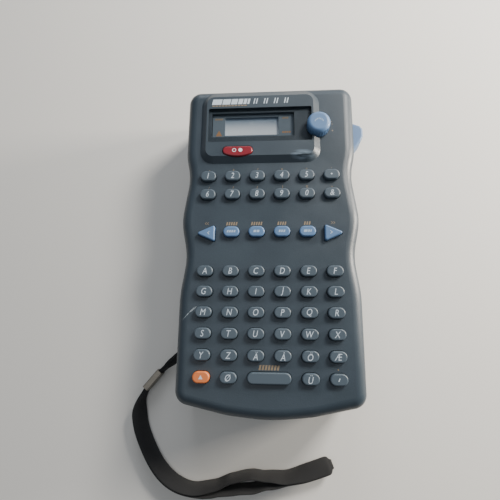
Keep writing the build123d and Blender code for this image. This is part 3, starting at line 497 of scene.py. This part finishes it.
letter_rows = ["ABCDEF", "GHIJKL", "MNOPQR", "STUVWX", "YZÄÅÖÆ"]
for row_number, row_letters in enumerate(letter_rows, 1):
    row_node = f"keys_letters_{row_number}"
    row_low, row_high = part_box(row_node)
    first_x = row_low.x + CAP_FLANGE + CAP_WIDTH / 2
    last_x = row_high.x - CAP_FLANGE - CAP_WIDTH / 2
    row_y = (row_low.y + row_high.y) / 2
    row_meshes = []
    for column, row_letter in enumerate(row_letters):
        letter_x = first_x + (last_x - first_x) * column / (len(row_letters) - 1)
        row_meshes.append(text_outline(row_letter, LETTER_SIZE, (letter_x, row_y), KEY_TOP_Z))
    link_piece("legend_" + row_node, joined("row", row_meshes), pale_ink, row_node)

dot_mesh = flat_shape(disc(*node_centre("key_dot"), DOT_RADIUS), KEY_TOP_Z)
link_piece("legend_key_dot", dot_mesh, pale_ink, "key_dot")

comma_x, comma_y = node_centre("key_comma")
comma_mesh = flat_shape(bar(comma_x, comma_y, 0.5 * MM, 1.5 * MM, 0.4), KEY_TOP_Z)
link_piece("legend_key_comma", comma_mesh, pale_ink, "key_comma")

shift_x, shift_y = node_centre("key_shift")
shift_mark = [(shift_x - SHIFT_MARK_HALF, shift_y - SHIFT_MARK_FOOT),
              (shift_x + SHIFT_MARK_HALF, shift_y - SHIFT_MARK_FOOT),
              (shift_x, shift_y + SHIFT_MARK_HALF)]
link_piece("legend_key_shift", flat_shape(shift_mark, KEY_TOP_Z), pale_ink, "key_shift")
print("printed", len(single_caps) + len(letter_rows) + 3, "cap legends")

# %% Arrow and function cap marks


def chevron(x, y, reach, side):
    """An angle bracket's outline that points to side -1 or 1."""
    half = 0.9 * reach
    bold = 0.42 * reach
    points = [(x + side * reach / 2, y), (x - side * reach / 2, y + half),
              (x - side * reach / 2 - side * bold, y + half),
              (x + side * reach / 2 - side * bold, y),
              (x - side * reach / 2 - side * bold, y - half), (x - side * reach / 2, y - half)]
    return points if side < 0 else points[::-1]


ARROW_MARK_SET_IN = 4.4 * MM

for arrow_name, arrow_side in (("key_left", -1), ("key_right", 1)):
    arrow_low, arrow_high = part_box(arrow_name)
    wide_end_x = arrow_high.x if arrow_side < 0 else arrow_low.x
    mark_x = wide_end_x + arrow_side * ARROW_MARK_SET_IN
    mark_y = (arrow_low.y + arrow_high.y) / 2
    link_piece("legend_" + arrow_name,
               flat_shape(chevron(mark_x, mark_y, 1.0 * MM, arrow_side), KEY_TOP_Z),
               pale_ink, arrow_name)

# Four different rows of plain bars tell the function caps apart without any words. Widths in mm.
CAP_BAR_GAP = 0.35 * MM
CAP_BAR_HEIGHT = 1.3 * MM
function_marks = [(0.9, 0.9, 0.9, 0.9), (1.4, 1.4), (0.9, 0.9, 0.9), (1.9, 0.9, 0.6)]
for index, bar_widths in enumerate(function_marks, 1):
    cap_name = f"key_function_{index}"
    cap_x, cap_y = node_centre(cap_name)
    total = sum(bar_widths) * MM + CAP_BAR_GAP * (len(bar_widths) - 1)
    left = cap_x - total / 2
    cap_bars = []
    for width in bar_widths:
        cap_bars.append(flat_shape(bar(left + width * MM / 2, cap_y, width * MM,
                                       CAP_BAR_HEIGHT), KEY_TOP_Z))
        left += width * MM + CAP_BAR_GAP
    link_piece("legend_" + cap_name, joined("bars", cap_bars), faint_ink, cap_name)

# %% [markdown]
# ### Marks on the case
# Small tan signs above the digit caps give their second functions; double chevrons sit above the
# arrows. Short rows of tan bars stand above the blue caps and the space bar. All of it is one
# film of ink on the case.

# %% Second-function marks
FACE_Z = 42.0 * MM
MARK_RISE = 4.3 * MM
SIGN_SIZE = 2.8 * MM
BAR_SPACING_MM = 0.55

digit_signs = {"key_1": "-", "key_2": "+", "key_3": "!", "key_4": "=", "key_5": "*",
               "key_dot": ":", "key_6": "/", "key_7": "?", "key_8": "(", "key_9": ")",
               "key_0": "%", "key_sign": "\""}
case_marks = []
for cap_name, sign in digit_signs.items():
    cap_x, cap_y = node_centre(cap_name)
    case_marks.append(text_outline(sign, SIGN_SIZE, (cap_x + 0.3 * MM, cap_y + MARK_RISE),
                                   FACE_Z))


def word_bars(x, y, widths_mm, height_mm):
    """A centred row of slanted bars."""
    total = sum(widths_mm) + BAR_SPACING_MM * (len(widths_mm) - 1)
    left = x / MM - total / 2
    shapes = []
    for width in widths_mm:
        shapes.append(flat_shape(bar((left + width / 2) * MM, y, width * MM, height_mm * MM),
                                 FACE_Z))
        left += width + BAR_SPACING_MM
    return shapes


for index, bar_count in enumerate((5, 5, 4, 3), 1):
    cap_x, cap_y = node_centre(f"key_function_{index}")
    case_marks += word_bars(cap_x, cap_y + 5.0 * MM, (0.75,) * bar_count, 1.9)
space_x, space_y = node_centre("key_space")
case_marks += word_bars(space_x, space_y + 5.1 * MM, (1.0,) * 7, 2.5)
case_marks.append(flat_shape(disc(comma_x, comma_y + 4.6 * MM, 0.35 * MM), FACE_Z))
for arrow_name, arrow_side in (("key_left", -1), ("key_right", 1)):
    arrow_x, arrow_y = node_centre(arrow_name)
    for step in (-0.6, 0.6):
        case_marks.append(flat_shape(
            chevron(arrow_x + step * MM, arrow_y + 6.0 * MM, 0.8 * MM, arrow_side), FACE_Z))
link_piece("second_function_marks", joined("marks", case_marks), tan_ink, "case")

# %% Title band
# A plain motif of slanted stripes that get narrower to the right, then four pairs of thin ones.
PLATEAU_Z = 45.0 * MM
BAND_Y = 83.0 * MM
BAND_HEIGHT = 3.5 * MM

band_shapes = []
stripe_left = -33.6
for stripe_width in (5.6, 4.6, 3.6, 2.6, 1.8, 1.2):
    band_shapes.append(flat_shape(bar((stripe_left + stripe_width / 2) * MM, BAND_Y,
                                      stripe_width * MM, BAND_HEIGHT), PLATEAU_Z))
    stripe_left += stripe_width + BAR_SPACING_MM
for pair_x in (-8.0, -2.0, 4.0, 10.0):
    for stripe_x in (pair_x - 0.75, pair_x + 0.75):
        band_shapes.append(flat_shape(bar(stripe_x * MM, BAND_Y, 0.6 * MM, BAND_HEIGHT),
                                      PLATEAU_Z))
link_piece("title_band_marks", joined("band", band_shapes), pale_ink, "case")
underline = [flat_shape(bar((-33.0 + 1.9 * i) * MM, BAND_Y - 2.6 * MM, 1.4 * MM, 0.6 * MM),
                        PLATEAU_Z) for i in range(11)]
link_piece("title_band_underline", joined("underline", underline), tan_ink, "case")

# %% Power key glyph
POWER_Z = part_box("power_key")[1].z
power_x, power_y = node_centre("power_key")
GLYPH_RADIUS = 1.15 * MM
GLYPH_HOLE_RADIUS = 0.78 * MM
GLYPH_STEPS = 28
glyph_y = power_y + 0.5 * MM
ring_x = power_x - 1.9 * MM
spot_x = power_x + 1.7 * MM
ring_outer = disc(ring_x, glyph_y, GLYPH_RADIUS, GLYPH_STEPS)
ring_inner = disc(ring_x, glyph_y, GLYPH_HOLE_RADIUS, GLYPH_STEPS)
glyph = []
for i in range(GLYPH_STEPS):
    after = (i + 1) % GLYPH_STEPS
    glyph.append(flat_shape([ring_outer[i], ring_outer[after], ring_inner[after],
                             ring_inner[i]], POWER_Z))
glyph.append(flat_shape(disc(spot_x, glyph_y, GLYPH_RADIUS, GLYPH_STEPS), POWER_Z))
glyph_mesh = joined("glyph", glyph)
link_piece("legend_power_key", glyph_mesh, white_ink, "power_key")

# %% Panel marks behind the window
PANEL_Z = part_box("display_panel")[1].z
panel_marks = []
for mark_x, bar_count in ((-30.0, 4), (10.0, 3)):
    for i in range(bar_count):
        panel_marks.append(flat_shape(bar((mark_x + 1.2 * (i - 1.5)) * MM, 73.6 * MM,
                                          0.9 * MM, 1.2 * MM), PANEL_Z))
link_piece("panel_dim_marks", joined("dim", panel_marks), tan_ink, "case")
panel_bright = [flat_shape([(-31.6 * MM, 62.6 * MM), (-28.0 * MM, 62.6 * MM),
                            (-29.8 * MM, 66.4 * MM)], PANEL_Z)]
for i in range(4):
    panel_bright.append(flat_shape(bar((8.0 + 1.3 * i) * MM, 64.4 * MM, 1.0 * MM, 1.1 * MM),
                                   PANEL_Z))
link_piece("panel_amber_marks", joined("amber", panel_bright), amber_ink, "case")

# %% [markdown]
# ## Dial marks
# The dial's crown carries seven faint ticks; a dot and three ticks stand on the case beside it.

# %% Dial marks
DIAL_TOP_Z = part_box("dial")[1].z
CROWN_RADIUS = 2.6 * MM
STOP_RADIUS = 8.4 * MM
dial_x, dial_y = node_centre("dial")
crown = []
for tick in range(7):
    turn = math.radians(150 - 20 * tick)
    crown.append(flat_shape(bar(dial_x + CROWN_RADIUS * math.cos(turn),
                                dial_y + CROWN_RADIUS * math.sin(turn) - 1.2 * MM, 0.4 * MM,
                                0.9 * MM), DIAL_TOP_Z))
link_piece("dial_marks", joined("crown", crown), faint_ink, "dial")
stops = [flat_shape(disc(dial_x + 8.3 * MM, dial_y - 2.4 * MM, 0.4 * MM), FACE_Z)]
for tick_angle in (12, 24, 36):
    angle = math.radians(tick_angle)
    stops.append(flat_shape(bar(dial_x + STOP_RADIUS * math.cos(angle),
                                dial_y + STOP_RADIUS * math.sin(angle),
                                0.9 * MM, 0.22 * MM, 0), FACE_Z))
link_piece("dial_stop_marks", joined("stops", stops), tan_ink, "case")

# %% [markdown]
# ## Wear
# A deep scratch has whitened the plastic beside the third letter row. Three strokes that taper to
# a point, barely above the face, are enough to read as a gouge.

# %% Scratch
scratch_ink = plain_finish("whitened_abs", "#aeb9c1", 0.6)
row_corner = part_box("keys_letters_3")[0]
scratch_strokes = []
for start, end, stroke in (((-6.2, -0.6), (0.2, 6.6), 0.34), ((-4.4, 2.0), (1.0, 6.2), 0.26),
                           ((-1.6, 4.6), (1.6, 7.0), 0.22)):
    tail = Vector((row_corner.x + start[0] * MM, row_corner.y + start[1] * MM))
    tip = Vector((row_corner.x + end[0] * MM, row_corner.y + end[1] * MM))
    side = (tip - tail).orthogonal().normalized() * stroke * MM / 2
    belly = tail.lerp(tip, 0.65)
    scratch_strokes.append(flat_shape([tuple(tail), tuple(belly - side), tuple(tip),
                                       tuple(belly + side)][::-1], FACE_Z))
link_piece("scratch_marks", joined("scratch", scratch_strokes), scratch_ink, "case")

# %% [markdown]
# ## Wrist strap
# The strap is one length of woven ribbon, 10 mm wide and under 1 mm thick, folded back on itself:
# it runs out, turns over at the far end, and comes back to the crimp. It lies half on its edge,
# and its two layers part into a small eye along the lower run. The route is a smooth spline that
# takes its points from the CAD strap's own list, each with a given height. Frames of width
# and thickness directions are carried along it, and a thin section is swept through those
# frames, out and back.

# %% Strap route
strap_route_mm = [
    (-52.5, -62.0, 4.2), (-59.5, -67.5, 4.2), (-67.5, -74.5, 4.2), (-75.0, -83.5, 4.3),
    (-79.2, -93.5, 4.6), (-77.6, -104.5, 4.8), (-72.3, -116.0, 4.8), (-65.0, -127.5, 4.8),
    (-55.5, -135.5, 4.8), (-43.5, -138.8, 5.0), (-31.0, -137.2, 5.1), (-19.0, -133.8, 5.3),
    (-6.0, -132.2, 5.3), (7.5, -131.0, 5.1), (20.5, -127.8, 4.5), (34.5, -122.9, 3.9),
]
route_curve = bpy.data.curves.new("strap_route", "CURVE")
route_curve.dimensions = "3D"
route_curve.resolution_u = 24
route_spline = route_curve.splines.new("NURBS")
route_spline.points.add(len(strap_route_mm) - 1)
for control, (x, y, z) in zip(route_spline.points, strap_route_mm):
    control.co = (x * MM, y * MM, z * MM, 1)
route_spline.order_u = 3
route_spline.use_endpoint_u = True
route_holder = bpy.data.objects.new("strap_route", route_curve)
scene.collection.objects.link(route_holder)
bpy.context.view_layer.update()
route_mesh = bpy.data.meshes.new_from_object(
    route_holder.evaluated_get(bpy.context.evaluated_depsgraph_get()))
route = [v.co.copy() for v in route_mesh.vertices]
bpy.data.objects.remove(route_holder)
travelled = [0.0]
for a, b in zip(route, route[1:]):
    travelled.append(travelled[-1] + (b - a).length)
route_length = travelled[-1]
print("strap route", len(route), "points,", round(route_length / MM, 1), "mm")

# %% Ribbon frames
RIBBON_WIDTH = 10.0 * MM
PINCHED_WIDTH = 6.4 * MM
RIBBON_THICKNESS = 0.8 * MM
LAYER_REST = 0.5 * MM
END_ROUNDING = 3.0 * MM
END_EASE = 0.96


def value_along(stops, share):
    """Smooth value at a share of the route from a short list of (share, value) stops."""
    for (s0, v0), (s1, v1) in zip(stops, stops[1:]):
        if share <= s1:
            t = (share - s0) / (s1 - s0)
            return v0 + (v1 - v0) * t * t * (3 - 2 * t)
    return stops[-1][1]


# Share of the route, then: the ribbon's angle above the table in degrees, its width, and how
# far each layer stands from the middle line, level with the table
lean_stops = [(0.0, 45), (0.05, 60), (0.09, 84), (0.18, 84), (0.26, 54), (0.45, 54), (0.57, 64),
              (0.68, 74), (0.78, 72), (0.86, 60), (0.93, 42), (1.0, 38)]
width_stops = [(0.0, PINCHED_WIDTH), (0.18, PINCHED_WIDTH), (0.26, RIBBON_WIDTH),
               (1.0, RIBBON_WIDTH)]
eye_stops = [(0.0, 0), (0.55, 0), (0.63, 1.1), (0.69, 2.6), (0.745, 3.1), (0.80, 1.5),
             (0.86, 0), (1.0, 0)]

ribbon_frames = []
for i, point in enumerate(route):
    share = travelled[i] / route_length
    along = (route[min(i + 1, len(route) - 1)] - route[max(i - 1, 0)]).normalized()
    inward = Vector((-along.y, along.x, 0)).normalized()
    lean = math.radians(value_along(lean_stops, share))
    across = (Vector((0, 0, 1)) * math.sin(lean) - inward * math.cos(lean)).normalized()
    outward = along.cross(across).normalized()
    width = value_along(width_stops, share)
    near_end = max(travelled[i] - (route_length - END_ROUNDING), 0)
    width -= 2 * (END_ROUNDING - math.sqrt(END_ROUNDING ** 2 - END_EASE * near_end ** 2))
    parted = outward * LAYER_REST - inward * value_along(eye_stops, share) * MM
    ribbon_frames.append((point, along, across, outward, parted, width))
print("carried", len(ribbon_frames), "frames along the ribbon")

# %% Ribbon mesh


def ribbon_ring(centre, across, thick, width):
    """Eight points of a flat section with eased edges."""
    half_w, half_t = width / 2, RIBBON_THICKNESS / 2
    ease = 0.35 * RIBBON_THICKNESS
    profile = [(-half_w, -half_t + ease), (-half_w + ease, -half_t), (half_w - ease, -half_t),
               (half_w, -half_t + ease), (half_w, half_t - ease), (half_w - ease, half_t),
               (-half_w + ease, half_t), (-half_w, half_t - ease)]
    return [centre + across * a + thick * b for a, b in profile]


rings = []
for point, along, across, outward, parted, width in ribbon_frames:
    rings.append(ribbon_ring(point + parted, across, outward, width))
last_point, last_along, last_across, last_outward, _, last_width = ribbon_frames[-1]
FOLD_STEPS = 8
for step in range(1, FOLD_STEPS):
    turn = math.pi * step / FOLD_STEPS
    thick = last_outward * math.cos(turn) + last_along * math.sin(turn)
    rings.append(ribbon_ring(last_point + thick * LAYER_REST, last_across, thick, last_width))
for point, along, across, outward, parted, width in reversed(ribbon_frames):
    rings.append(ribbon_ring(point - parted, across, -outward, width))

ribbon_points = [p for one_ring in rings for p in one_ring]
SIDES = 8
last_ring = range(len(ribbon_points) - SIDES, len(ribbon_points))
ribbon_faces = [tuple(range(SIDES)), tuple(reversed(last_ring))]
for r in range(len(rings) - 1):
    for k in range(SIDES):
        a, b = r * SIDES + k, r * SIDES + (k + 1) % SIDES
        ribbon_faces.append((a, a + SIDES, b + SIDES, b))
ribbon_mesh = bpy.data.meshes.new("wrist_strap")
ribbon_mesh.from_pydata(ribbon_points, [], ribbon_faces)
ribbon_mesh.validate()

# Length along the ribbon and place across it, for the weave
run = [0.0]
middles = [(ring[0] + ring[3]) / 2 for ring in rings]
for before, after in zip(middles, middles[1:]):
    run.append(run[-1] + (after - before).length)
across_place = [-0.5, -0.48, 0.48, 0.5, 0.5, 0.48, -0.48, -0.5]
weave_map = ribbon_mesh.uv_layers.new(name="weave")
for loop in ribbon_mesh.loops:
    r, k = divmod(loop.vertex_index, SIDES)
    weave_map.data[loop.index].uv = (run[r], across_place[k] * RIBBON_WIDTH)
for face in ribbon_mesh.polygons:
    face.use_smooth = True

# %% [markdown]
# ### Woven ribbon finish
# Narrow woven tape has a rib across it about every 0.6 mm and warp threads along it about every
# 0.4 mm. Both are drawn coarser than that, at 0.9 mm, so that they show from this far. Two sine
# waves over the ribbon's own length and width give the relief; the threads' crowns are painted a
# touch lighter and the hollows darker, a painted highlight and painted shade, and the black has a
# soft sheen.

# %% Woven ribbon
THREAD_SPACING_MM = 0.9

woven_black = bpy.data.materials.new("black_woven_ribbon")
woven_black.use_nodes = True
weave_tree = woven_black.node_tree
weave_shader = weave_tree.nodes["Principled BSDF"]
weave_shader.inputs["Sheen Weight"].default_value = 0.08
weave_shader.inputs["Sheen Roughness"].default_value = 0.5
weave_shader.inputs["Roughness"].default_value = 0.85
weave_place = add_node(weave_tree, "ShaderNodeUVMap", uv_map="weave").outputs["UV"]
weave_axes = add_node(weave_tree, "ShaderNodeSeparateXYZ", {"Vector": weave_place})


def thread_wave(output, spacing_mm):
    """A sine wave with one crest per thread."""
    phase = add_node(weave_tree, "ShaderNodeMath", {0: output, 1: 2 * math.pi / (spacing_mm * MM)},
                     operation="MULTIPLY")
    return add_node(weave_tree, "ShaderNodeMath", {0: phase.outputs["Value"]},
                    operation="SINE").outputs["Value"]


rib = thread_wave(weave_axes.outputs["X"], THREAD_SPACING_MM)
warp = thread_wave(weave_axes.outputs["Y"], THREAD_SPACING_MM)
threads = add_node(weave_tree, "ShaderNodeMath", {0: rib, 1: warp}, operation="MULTIPLY")
thread_painted_light_share = add_node(weave_tree, "ShaderNodeMapRange",
                       {"Value": threads.outputs["Value"], "From Min": -1.0, "From Max": 1.0,
                        "To Min": 0.0, "To Max": 1.0})
# Lighter crowns and darker hollows here are a painted highlight and painted shade on the threads.
thread_painted_light_colour = add_node(weave_tree, "ShaderNodeMix", data_type="RGBA")
weave_tree.links.new(thread_painted_light_share.outputs["Result"], thread_painted_light_colour.inputs["Factor"])
thread_painted_light_colour.inputs["A"].default_value = srgb("#0f1011")
thread_painted_light_colour.inputs["B"].default_value = srgb("#222326")
weave_tree.links.new(thread_painted_light_colour.outputs["Result"], weave_shader.inputs["Base Color"])
weave_relief = add_node(weave_tree, "ShaderNodeBump",
                        {"Height": threads.outputs["Value"], "Strength": 0.8,
                         "Distance": 0.12 * MM})
weave_tree.links.new(weave_relief.outputs["Normal"], weave_shader.inputs["Normal"])

# %% Strap piece
strap = link_piece("wrist_strap", ribbon_mesh, woven_black, "case")
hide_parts("strap")
